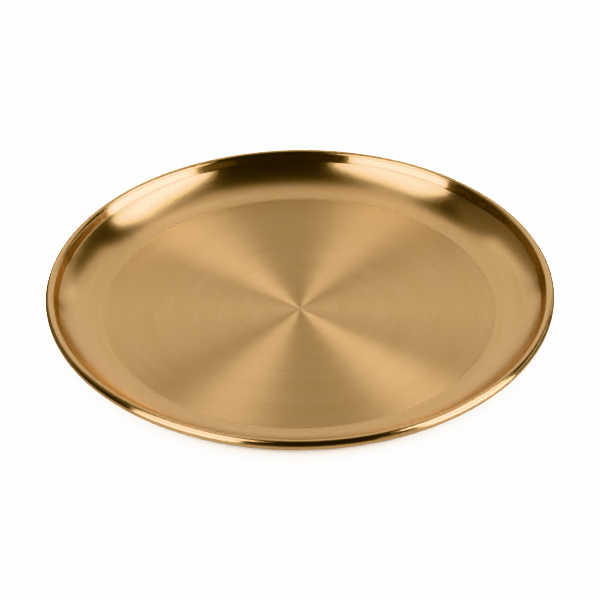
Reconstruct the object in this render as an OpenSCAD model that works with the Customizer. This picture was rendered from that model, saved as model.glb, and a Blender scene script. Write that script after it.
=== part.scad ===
// Paten plate: a shallow round plate pressed and spun from one disc of thin stainless sheet.
// Units are millimetres. The underside of the floor lies on z = 0 and the plate turns about Z.
// The sheet runs out flat, lifts through a wide cove, turns up into a short lip, and its edge is
// rolled outward and down into a small hollow curl. It is one sheet, so there is one piece.

/* [Overall size] */
// Diameter over the rolled edge
plate_d = 200; // [140:1:300]
// Height from the table to the top of the rolled edge
plate_h = 11; // [8:0.1:16]
// Thickness of the sheet
sheet_t = 0.5; // [0.4:0.05:0.8]

/* [Side] */
// Radial width of the cove, from the edge of the flat floor to the foot of the lip
cove_w = 17.6; // [12:0.1:40]
// Radial width of the lip, from its foot to the inner side of the curl
lip_w = 1.4; // [1:0.1:4]
// Height of the lip, from its foot to the middle of the curl
lip_h = 1.8; // [1.2:0.1:3]
// Inside radius of the bend at the foot of the lip, where the lip leaves room for it
lip_bend = 3; // [0.5:0.1:4]

/* [Rolled edge] */
// Outside diameter of the hollow curl
curl_d = 4; // [2.4:0.1:5]
// Gap left between the tucked edge of the curl and the outside of the lip
curl_gap = 0.4; // [0.2:0.05:0.8]

/* [Part to draw] */
// Piece to draw on its own, or all of them

/* [Hidden] */
$fn = 240;
// Neighbouring faces cross by this little at a smooth joint, so that the joint always closes
bite = 0.001;
// How far the curl and the lip run into each other
lap = 0.02;
// Most of the room for the bend that the bend may take, so that some straight lip is left
bend_share = 0.9;

curl_r = curl_d / 2;
// Cove: the arc of this width and rise that leaves the floor level
floor_r = plate_d / 2 - curl_d - lip_w - cove_w;
cove_rise = plate_h - sheet_t - lip_h - curl_r;
cove_end = 2 * atan(cove_rise / cove_w);
cove_r = cove_w / sin(cove_end);
cove_c = [floor_r, sheet_t + cove_r];
// Bend at the foot of the lip: its centre lies on the line square to the end of the cove,
// and past bend_limit it would touch the curl.
reach = lip_w + curl_r;
bend_limit = (reach * reach + lip_h * lip_h - curl_r * curl_r)
    / (2 * (curl_r - reach * sin(cove_end) + lip_h * cos(cove_end)));
bend_r = min(lip_bend, bend_share * bend_limit);
bend_c = cove_c + (cove_r - bend_r) * [sin(cove_end), -cos(cove_end)];
// Its disc runs on past the foot of the lip, twice as far as where it crosses the lip's face
spill = 4 * sqrt(bite * bend_r);
// Curl, and the straight lip that touches the bend below it and the curl above it
curl_c = [plate_d / 2 - curl_r, plate_h - curl_r];
run = curl_c - bend_c;
lip_slope = atan2(run[1], run[0]) + asin((curl_r + bend_r - 2 * bite) / norm(run));
along = [cos(lip_slope), sin(lip_slope)];
inward = [-sin(lip_slope), cos(lip_slope)];
// Tucked edge of the curl, as an angle back from the top of the lip
tuck = acos((curl_r - sheet_t - curl_gap) / curl_r);

// Foot and top of the lip on the face that lies depth under the sheet's upper one
function lip_foot(depth) = bend_c - (bend_r + depth - bite) * inward;
function lip_top(depth) = curl_c + (curl_r - depth - bite) * inward + lap * along;

// Section of the space above the face that lies depth under the sheet's upper one.
// Over is how far that space is carried on past the lip, away from the metal.
module space_above(depth, over) {
    wide = 2 * (bend_r + sheet_t);
    translate([0, sheet_t - depth])
        square([floor_r, plate_h]);
    translate(cove_c)
        intersection() {
            circle(r = cove_r + depth);
            polygon([[0, 0], [0, -2 * cove_r], 2 * cove_r * [sin(cove_end), -cos(cove_end)]]);
        }
    translate(bend_c)
        intersection() {
            circle(r = bend_r + depth + bite);
            polygon([
                spill * along + wide * inward,
                spill * along - wide * inward,
                -wide * along - wide * inward,
                -wide * along + wide * inward
            ]);
        }
    polygon([
        lip_foot(depth),
        lip_top(depth) + over * along,
        lip_top(depth) + over * along + (bend_r + depth + over) * inward,
        lip_foot(depth) + (bend_r + depth + over) * inward
    ]);
}

// Section of the floor, cove and lip: what lies between the sheet's two faces.
module dish_section() {
    difference() {
        space_above(sheet_t, 0);
        space_above(0, 2 * (bend_r + sheet_t));
    }
}

// The open side of the curl, seen from its centre: from the lip round to the tucked edge.
module curl_mouth() {
    far = 2 * curl_r;
    slant = 6 * lap / sheet_t;
    polygon([
        [0, 0],
        ((curl_r - sheet_t) * slant - lap) * along,
        ((curl_r - sheet_t - far) * slant - lap) * along + far * inward,
        far * inward - far * along,
        -2 * far * along,
        far * (cos(tuck) * inward - sin(tuck) * along)
    ]);
}

// Half section of the whole sheet, from the middle of the floor to the tucked edge.
module sheet_section() {
    difference() {
        union() {
            dish_section();
            translate(curl_c)
                difference() {
                    circle(r = curl_r);
                    curl_mouth();
                }
        }
        translate(curl_c)
            circle(r = curl_r - sheet_t);
    }
}

// The plate, turned from its section: floor, cove, lip and curl in one sheet.
module plate() {
    color([0.80, 0.63, 0.38])
        rotate_extrude()
            sheet_section();
}

plate();
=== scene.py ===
# %% [markdown]
# A paten plate is the small round plate that holds the altar bread. This one is a single disc of
# thin stainless sheet, pressed and spun into a shallow dish, brushed while it turns on the lathe
# and coated gold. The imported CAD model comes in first, because its box is the true size that
# everything in this scene has to keep to.

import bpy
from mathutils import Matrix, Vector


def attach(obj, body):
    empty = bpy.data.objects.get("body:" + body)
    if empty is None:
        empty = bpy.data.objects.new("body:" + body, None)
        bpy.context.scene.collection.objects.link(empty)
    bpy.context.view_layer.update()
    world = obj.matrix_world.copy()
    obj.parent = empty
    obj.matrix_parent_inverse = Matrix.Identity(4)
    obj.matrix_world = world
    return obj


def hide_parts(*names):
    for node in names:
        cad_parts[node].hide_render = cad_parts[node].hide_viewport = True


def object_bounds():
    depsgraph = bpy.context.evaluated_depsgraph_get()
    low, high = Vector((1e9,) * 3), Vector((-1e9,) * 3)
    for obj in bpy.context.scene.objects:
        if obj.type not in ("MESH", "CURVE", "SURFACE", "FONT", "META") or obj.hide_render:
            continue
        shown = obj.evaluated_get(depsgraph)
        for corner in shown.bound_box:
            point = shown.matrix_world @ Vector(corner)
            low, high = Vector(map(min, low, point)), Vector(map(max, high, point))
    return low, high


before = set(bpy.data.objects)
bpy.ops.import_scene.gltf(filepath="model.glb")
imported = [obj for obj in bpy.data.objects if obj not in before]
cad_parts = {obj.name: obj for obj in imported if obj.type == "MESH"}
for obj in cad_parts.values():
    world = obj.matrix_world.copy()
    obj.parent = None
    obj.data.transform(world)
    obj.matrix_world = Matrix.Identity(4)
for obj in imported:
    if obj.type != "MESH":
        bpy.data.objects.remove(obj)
cad_low, cad_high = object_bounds()
print("CAD box, mm:", [round(1000 * v, 3) for v in (*cad_low, *cad_high)])

# %% [markdown]
# Blender counts in metres and linear light, while a maker thinks in millimetres and picks colours
# from a screen. Two small conversions bridge that. A third helper adds one node to a node tree
# with its settings and its links, which keeps each material readable from top to bottom. The two
# golds are the ends of the small range of tone that uneven brushing gives.

# %% Units, colours and nodes
import math

import bpy
import numpy as np
from mathutils import Matrix, Vector

MM = 0.001


def linear(hex_colour):
    """Linear RGB of an sRGB hex colour: the low end is a straight line, the rest a 2.4 power."""
    value = np.array([int(hex_colour[i:i + 2], 16) for i in (1, 3, 5)]) / 255
    return tuple(np.where(value <= 0.04045, value / 12.92, ((value + 0.055) / 1.055) ** 2.4))


def add(tree, kind, inputs=(), **settings):
    """Adds one node. Each input, by name or number, takes a plain value or another node's socket."""
    made = tree.nodes.new(kind)
    for name, value in settings.items():
        setattr(made, name, value)
    for key, value in dict(inputs).items():
        if isinstance(value, bpy.types.NodeSocket):
            tree.links.new(value, made.inputs[key])
        else:
            made.inputs[key].default_value = value
    return made


GOLD_DEEP, GOLD_PALE = "#e4c69b", "#eacca5"
print("deeper gold in linear light:", [round(float(v), 3) for v in linear(GOLD_DEEP)])
print("paler gold in linear light:", [round(float(v), 3) for v in linear(GOLD_PALE)])

# %% [markdown]
# The plate is one sheet of even thickness: a flat floor, a wide cove, a tight bend, a short steep
# lip, and an edge curled outward and down into a hollow bead. A section like that could be drawn
# as a curve and thickened, but a thickened mesh rounds off the tight bends. Here both faces of
# the sheet are worked out from the same arcs, one set back from the other by the thickness.

# %% Sizes of the section
SHEET = 0.5 * MM
COVE_WIDTH, LIP_WIDTH, LIP_HEIGHT = 17.6 * MM, 1.4 * MM, 1.8 * MM
BEND, CURL, CURL_GAP = 3.0 * MM, 2.0 * MM, 0.4 * MM

rim = cad_high.x
height = cad_high.z - cad_low.z
floor_edge = rim - 2 * CURL - LIP_WIDTH - COVE_WIDTH
cove_rise = height - SHEET - LIP_HEIGHT - CURL
cove_end = 2 * math.atan(cove_rise / COVE_WIDTH)
cove = COVE_WIDTH / math.sin(cove_end)
cove_centre = np.array((floor_edge, SHEET + cove))
bend_centre = cove_centre + (cove - BEND) * np.array((math.sin(cove_end), -math.cos(cove_end)))
curl_centre = np.array((rim - CURL, height - CURL))
across = curl_centre - bend_centre
lip_slope = math.atan2(across[1], across[0]) + math.asin((CURL + BEND) / np.hypot(*across))
tuck = math.acos((CURL - SHEET - CURL_GAP) / CURL)
print("floor across, mm:", round(2000 * floor_edge, 2), " cove radius, mm:", round(1000 * cove, 2))
print("cove ends at", round(math.degrees(cove_end), 1), "and the lip stands at",
      round(math.degrees(lip_slope), 1), "degrees")

# %% [markdown]
# The section is a row of points, each a distance from the axis and a height. One arc function
# covers the cove, the bend and, with its sign turned, the curl. Points lie close together where
# the sheet turns sharply, and far apart on the flat. Few rings are needed on the floor, but some
# stand just inside its edge, so that the smooth shading of the cove doesn't creep onto it.

# %% Section of the sheet
TUCKED_EDGE = 0.12 * MM
FLAT_RINGS = np.array((0, 0.4, 1, 2, 4, 8, 16, 32, 48, 60, 70, 74, 76, 76.8)) * MM
LIP_SHARES = np.array(((1 / 3,), (2 / 3,)))
COVE_POINTS, BEND_POINTS, CURL_POINTS, EDGE_POINTS = 28, 9, 46, 6


def arc(centre, radius, start, stop, count):
    """Centre plus radius times (sine, minus cosine) of an even run of slopes."""
    slope = np.linspace(start, stop, count)
    return centre + radius * np.column_stack((np.sin(slope), -np.cos(slope)))


def sheet_face(depth):
    """Points from the axis to the tucked edge, on the face that lies depth below the upper one:
    hollow arcs gain the depth in radius, and the curl, which turns the other way, loses it."""
    floor = np.column_stack((FLAT_RINGS, np.full(len(FLAT_RINGS), SHEET - depth)))
    last = lip_slope - 2 * math.pi + tuck + TUCKED_EDGE / CURL
    side = arc(cove_centre, cove + depth, 0, cove_end, COVE_POINTS)
    foot = arc(bend_centre, BEND + depth, cove_end, lip_slope, BEND_POINTS)[1:]
    bead = arc(curl_centre, depth - CURL, lip_slope, last, CURL_POINTS)
    lip = foot[-1] + (bead[0] - foot[-1]) * LIP_SHARES
    return np.vstack((floor, side, foot, lip, bead))


def tucked_edge(upper, lower):
    """Half an ellipse from one face to the other, standing out by the rounding of the cut edge."""
    turn = np.linspace(0, math.pi, EDGE_POINTS + 2)[1:-1, None]
    middle, half = (upper[-1] + lower[-1]) / 2, (upper[-1] - lower[-1]) / 2
    ahead = upper[-1] - upper[-2]
    return middle + np.cos(turn) * half + np.sin(turn) * TUCKED_EDGE * ahead / np.hypot(*ahead)


upper, lower, middle = sheet_face(0), sheet_face(SHEET), sheet_face(SHEET / 2)
edge = tucked_edge(upper, lower)
section = np.vstack((upper, edge, lower[::-1]))
run = np.append(0, np.cumsum(np.hypot(*np.diff(middle, axis=0).T))) / MM
section_run = np.concatenate((run, np.full(len(edge), run[-1]), run[::-1]))
print("section points:", len(section), " middle of the sheet, mm:", round(run[-1], 2))

# %% [markdown]
# Spinning makes a plate by turning its section about the axis, and the mesh is made in the same
# way. Every ring of points is the section's distance from the axis times the cosine and sine of
# an even run of turns. The two ends of the section lie on the axis, so each closes in one point.

# %% Turn the section into the plate
TURNS = 480


def spun_mesh(name, points, turns):
    """Grid of (distance x cosine, distance x sine, height) with a fan of triangles at each end."""
    angle = np.linspace(0, 2 * math.pi, turns, endpoint=False)
    rings = points[1:-1]
    x = rings[:, :1] * np.cos(angle)
    y = rings[:, :1] * np.sin(angle)
    z = np.repeat(rings[:, 1:], turns, axis=1)
    grid = np.stack((x, y, z), axis=2).reshape(-1, 3)
    poles = ((0, 0, points[0, 1]), (0, 0, points[-1, 1]))
    here = np.arange(turns)
    after = (here + 1) % turns
    inner = np.arange(len(rings) - 1)[:, None] * turns
    quads = np.stack((inner + here, inner + turns + here, inner + turns + after, inner + after), 2)
    first, last = len(grid), len(grid) + 1
    end = (len(rings) - 1) * turns
    fans = np.vstack((np.column_stack((np.full(turns, first), here, after)),
                      np.column_stack((np.full(turns, last), end + after, end + here))))
    mesh = bpy.data.meshes.new(name)
    mesh.from_pydata(np.vstack((grid, poles)).tolist(), [],
                     quads.reshape(-1, 4).tolist() + fans.tolist())
    mesh.shade_smooth()
    return mesh


mesh = spun_mesh("plate_sheet", section, TURNS)
plate = bpy.data.objects.new("plate_sheet", mesh)
bpy.context.scene.collection.objects.link(plate)
ring_run = np.repeat(section_run[1:-1], TURNS)
run_mm = mesh.attributes.new("run_mm", "FLOAT", "POINT")
run_mm.data.foreach_set("value", np.append(ring_run, (0, 0)).astype(np.float32))
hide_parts("plate")
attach(plate, "root")
print("triangles:", sum(len(p.vertices) - 2 for p in mesh.polygons))

# %% [markdown]
# The finish is stainless steel, brushed on the lathe and then coated gold in a vacuum. The coating
# is only microns thick, so the brush lines show through it. They run round the plate, so light
# spreads across them: every lamp smears into a long band from the middle to the rim, and the
# floor shows bright and dark fans that meet in its centre.
# The way round the plate, and the distance run along the sheet from its centre, place the lines.
# An image wrapped on the plate would be pinched in the middle, and nodes have no such trouble.

# %% Directions in the brushed gold
# Lathe-brushed stainless steel under a gold coat laid on as vapour: to the eye a warm, satin metal
# with bright bands that run from the middle to the rim.
gold = bpy.data.materials.new("pvd_gold_stainless_lathe_brushed")
gold.use_nodes = True
tree = gold.node_tree
tree.nodes.clear()
place = add(tree, "ShaderNodeTexCoord").outputs["Object"]
level = add(tree, "ShaderNodeVectorMath", {0: place, 1: (1, 1, 0)}, operation="MULTIPLY")
outward = add(tree, "ShaderNodeVectorMath", {0: level.outputs[0]}, operation="NORMALIZE")
round_way = add(tree, "ShaderNodeVectorMath", {0: (0, 0, 1), 1: outward.outputs[0]},
                operation="CROSS_PRODUCT")
run_node = add(tree, "ShaderNodeAttribute", attribute_name="run_mm")
run_along = run_node.outputs["Fac"]


def brush_lines(width_mm, arcs, detail=2.0, seed=0.0):
    """Noise read at outward x arcs plus (0, 0, run / width + seed): long round the plate, narrow
    across it. Fewer arcs make longer lines."""
    step = add(tree, "ShaderNodeMath", {0: run_along, 1: 1 / width_mm}, operation="MULTIPLY")
    lift = add(tree, "ShaderNodeMath", {0: step.outputs[0], 1: seed}, operation="ADD")
    up = add(tree, "ShaderNodeCombineXYZ", {"Z": lift.outputs[0]})
    at = add(tree, "ShaderNodeVectorMath", {0: outward.outputs[0], 1: (arcs, arcs, arcs),
                                            2: up.outputs[0]}, operation="MULTIPLY_ADD")
    return add(tree, "ShaderNodeTexNoise", {"Vector": at.outputs[0], "Scale": 1.0,
                                            "Detail": detail, "Roughness": 0.6}).outputs["Fac"]


# Real brush lines are about a twentieth of a millimetre wide, too fine to show from this far, so
# the finest are drawn about nine times as coarse. The broader ones stand for uneven pressure.
FINE_MM, BROAD_MM, BAND_MM = 0.45, 1.4, 7.0
fine_lines = brush_lines(FINE_MM, 3.0, seed=3.0)
broad_lines = brush_lines(BROAD_MM, 2.0, seed=11.0)
soft_bands = brush_lines(BAND_MM, 1.2, detail=1.0, seed=29.0)
print("brush lines, mm:", FINE_MM, BROAD_MM, BAND_MM)

# %% [markdown]
# The floor was brushed harder than the cove, so its gloss is broader. Along the run of the sheet,
# the roughness falls where the cove starts and stays lower up to the bead. The lines themselves
# change the roughness and the tone a little, and a faint bump in the broader ones breaks up every
# edge of light. The tangent points along the lines, and a quarter turn lays the long side of each
# highlight square to them.

# %% Gloss and colour of the brushed gold
FLOOR_ROUGH, SIDE_ROUGH = 0.32, 0.21
CHANGE_FROM, CHANGE_TO = 76.2, 78.2  # mm along the sheet
LINE_SHARE, LINE_DEPTH = 0.02, 0.001 * MM
NOISE_LOW, NOISE_HIGH = 0.2, 0.8     # where the noise nearly always lies
TONE_LOW, TONE_HIGH = 1.0, 2.0       # the same for the sum of three noises
place_rough = add(tree, "ShaderNodeMapRange", {"Value": run_along, "From Min": CHANGE_FROM,
                                               "From Max": CHANGE_TO, "To Min": FLOOR_ROUGH,
                                               "To Max": SIDE_ROUGH},
                  interpolation_type="SMOOTHSTEP")
rough_lines = add(tree, "ShaderNodeMapRange", {"Value": fine_lines, "From Min": NOISE_LOW,
                                               "From Max": NOISE_HIGH, "To Min": 1 - LINE_SHARE,
                                               "To Max": 1 + LINE_SHARE})
roughness = add(tree, "ShaderNodeMath", {0: place_rough.outputs[0], 1: rough_lines.outputs[0]},
                operation="MULTIPLY")

lines = add(tree, "ShaderNodeMath", {0: broad_lines, 1: fine_lines}, operation="ADD")
tone = add(tree, "ShaderNodeMath", {0: lines.outputs[0], 1: soft_bands}, operation="ADD")
shade = add(tree, "ShaderNodeMapRange", {"Value": tone.outputs[0], "From Min": TONE_LOW,
                                         "From Max": TONE_HIGH, "To Min": 0.0, "To Max": 1.0})
colour = add(tree, "ShaderNodeMix", {"Factor": shade.outputs[0], "A": (*linear(GOLD_DEEP), 1),
                                     "B": (*linear(GOLD_PALE), 1)}, data_type="RGBA")
bump = add(tree, "ShaderNodeBump", {"Height": broad_lines, "Distance": LINE_DEPTH, "Strength": 0.4})
shader = add(tree, "ShaderNodeBsdfPrincipled", {
    "Base Color": colour.outputs["Result"], "Metallic": 1.0, "Roughness": roughness.outputs[0],
    "Anisotropic": 0.95, "Anisotropic Rotation": 0.25, "Tangent": round_way.outputs[0],
    "Normal": bump.outputs[0]})
add(tree, "ShaderNodeOutputMaterial", {"Surface": shader.outputs[0]})
mesh.materials.append(gold)
print("floor roughness", FLOOR_ROUGH, "side roughness", SIDE_ROUGH)

# %% [markdown]
# The plate stands on a plain white table with a matt paint. The metal doesn't mirror the table,
# because a table lit to pure white would flood the outside of the bead. It lies a hair below the
# plate, since two faces in one plane would flicker, and its paint is clear from behind, so that
# the plate can be looked at from underneath.

# %% Table
TABLE_GAP, TABLE_SIDE = 0.02 * MM, 24
bpy.ops.mesh.primitive_plane_add(size=TABLE_SIDE, location=(0, 0, -TABLE_GAP))
table = bpy.context.object
table.name = "table"
table.visible_glossy = False
white = bpy.data.materials.new("matt_white_paint")
white.use_nodes = True
top = white.node_tree
top.nodes.clear()
paint = add(top, "ShaderNodeBsdfPrincipled", {"Base Color": (*linear("#f4f4f4"), 1),
                                              "Roughness": 0.9, "Specular IOR Level": 0.0})
clear = add(top, "ShaderNodeBsdfTransparent")
behind = add(top, "ShaderNodeNewGeometry").outputs["Backfacing"]
one_way = add(top, "ShaderNodeMixShader", {0: behind, 1: paint.outputs[0], 2: clear.outputs[0]})
add(top, "ShaderNodeOutputMaterial", {"Surface": one_way.outputs[0]})
table.data.materials.append(white)
print("table, m across:", TABLE_SIDE)

# %% [markdown]
# The room is a world in two parts. The camera sees it as white as the table, so there is no line
# where the table ends. Everything else sees dim walls, and below them the soft glow that a pale
# table gives to the outside of the bead. A very wide sun straight above lights the table evenly,
# almost without a shadow, and it too is kept out of the metal.

# %% Room and overhead light
WALL_GLOW, TABLE_GLOW, WHITE_VIEW = 0.05, 0.45, 12.0
GLOW_FULL, GLOW_END = -0.25, -0.05  # sines of the angles below the horizon
OVERHEAD_STRENGTH, OVERHEAD_SPREAD = 24.0, 120
sky = bpy.data.worlds.new("studio_room")
sky.use_nodes = True
bpy.context.scene.world = sky
room = sky.node_tree
room.nodes.clear()
path = add(room, "ShaderNodeLightPath")
way = add(room, "ShaderNodeTexCoord").outputs["Generated"]
rise = add(room, "ShaderNodeSeparateXYZ", {0: way}).outputs["Z"]
glow = add(room, "ShaderNodeMapRange", {"Value": rise, "From Min": GLOW_FULL, "From Max": GLOW_END,
                                        "To Min": TABLE_GLOW, "To Max": WALL_GLOW})
dim = add(room, "ShaderNodeBackground", {"Color": (1, 1, 1, 1), "Strength": glow.outputs[0]})
bright = add(room, "ShaderNodeBackground", {"Color": (1, 1, 1, 1), "Strength": WHITE_VIEW})
seen = add(room, "ShaderNodeMixShader", {0: path.outputs["Is Camera Ray"], 1: dim.outputs[0],
                                         2: bright.outputs[0]})
add(room, "ShaderNodeOutputWorld", {"Surface": seen.outputs[0]})

overhead = bpy.data.lights.new("overhead", "SUN")
overhead.energy, overhead.angle = OVERHEAD_STRENGTH, math.radians(OVERHEAD_SPREAD)
overhead_lamp = bpy.data.objects.new("overhead", overhead)
overhead_lamp.visible_glossy = False
bpy.context.scene.collection.objects.link(overhead_lamp)
print("walls", WALL_GLOW, "table glow", TABLE_GLOW, "overhead light", OVERHEAD_STRENGTH)

# %% [markdown]
# What a metal plate shows is its lamps, and the dark between them. Each soft box is a rectangle at
# a given bearing, turned to face the plate, and its size follows from the angles it fills as seen
# from there. On the left and on the right stand two bright boxes each, one low and one high. Dim
# boxes behind fill the fans of the floor, and weak ones at the sides close the gaps. Nothing bright
# hangs straight above, so the back of the cove stays dark. The boxes light only the metal, because
# the table has its own light.

# %% Soft boxes
REACH = 1.6


def soft_box(name, bearing, low, high, spread, radiance):
    """A rectangle facing the plate: centre at (cosine, sine) of its bearing and its middle
    height, half sides the reach times the tangent of half the angle that it fills."""
    lift, half = math.radians((low + high) / 2), math.radians((high - low) / 2)
    turn = math.radians(bearing)
    data = bpy.data.lights.new(name, "AREA")
    data.shape = "RECTANGLE"
    data.size = 2 * REACH * math.tan(math.radians(spread / 2))
    data.size_y = 2 * REACH * math.tan(half)
    data.energy = radiance * math.pi * data.size * data.size_y
    lamp = bpy.data.objects.new(name, data)
    lamp.location = REACH * Vector((math.cos(turn) * math.cos(lift),
                                    math.sin(turn) * math.cos(lift), math.sin(lift)))
    lamp.rotation_mode = "QUATERNION"
    lamp.rotation_quaternion = lamp.location.to_track_quat("Z", "Y")
    lamp.visible_camera = False
    lamp.visible_diffuse = False
    bpy.context.scene.collection.objects.link(lamp)


# name, bearing, lowest and highest angle, spread, brightness
soft_box("left_box", 222, 6, 30, 44, 3.2)
soft_box("left_top_box", 205, 49, 72, 36, 2.3)
soft_box("right_box", 343, 0, 30, 44, 3.2)
soft_box("right_top_box", 359, 46, 62, 42, 3.2)
soft_box("right_wing_box", 24, 12, 26, 28, 0.6)
soft_box("right_back_box", 50, 2, 26, 19, 0.37)
soft_box("back_box", 92, 4, 52, 64, 0.46)
soft_box("back_top_box", 90, 50, 73, 26, 0.42)
soft_box("left_back_box", 145, 6, 55, 38, 0.15)
soft_box("low_right_box", 310, 0, 10, 20, 0.7)
print("soft boxes:", sum(lamp.type == "AREA" for lamp in bpy.data.lights))

# %% [markdown]
# The camera looks down at the plate from a little over a third of a right angle, through a long
# lens, so the rim is seen as a clean ellipse with hardly any perspective. It aims a little below
# the middle of the rim and is turned by just over half a degree. The view transform keeps the hue
# of a metal as it brightens and lets only the strongest light turn pale, and its strong contrast
# keeps the gold from looking milky.

# %% Camera
ELEVATION, DISTANCE, LENS, ROLL = 35.66, 1.390, 212.2, 0.61
SENSOR = 36.0
RIM_MIDDLE = 9.0 * MM
RIM_ABOVE_MIDDLE = 8.9 / 600  # of the width of the view
view_down = math.radians(ELEVATION)
back = Vector((0, -math.cos(view_down), math.sin(view_down)))
screen_up = Vector((0, math.sin(view_down), math.cos(view_down)))
aim_drop = RIM_ABOVE_MIDDLE * SENSOR / LENS * DISTANCE
aim = Vector((0, 0, RIM_MIDDLE)) - aim_drop * screen_up
camera_data = bpy.data.cameras.new("camera")
camera_data.lens, camera_data.sensor_width = LENS, SENSOR
camera_data.clip_start, camera_data.clip_end = 0.05, 50
camera = bpy.data.objects.new("camera", camera_data)
bpy.context.scene.collection.objects.link(camera)
camera.location = aim + DISTANCE * back
camera.rotation_mode = "QUATERNION"
level_look = (camera.location - aim).to_track_quat("Z", "Y")
camera.rotation_quaternion = Matrix.Rotation(math.radians(-ROLL), 4, back).to_quaternion() @ level_look
bpy.context.scene.camera = camera

look = bpy.context.scene.view_settings
look.view_transform = "Khronos PBR Neutral"
look.look = "Very High Contrast"
print("camera stands, m:", [round(v, 3) for v in camera.location], " lens, mm:", LENS)
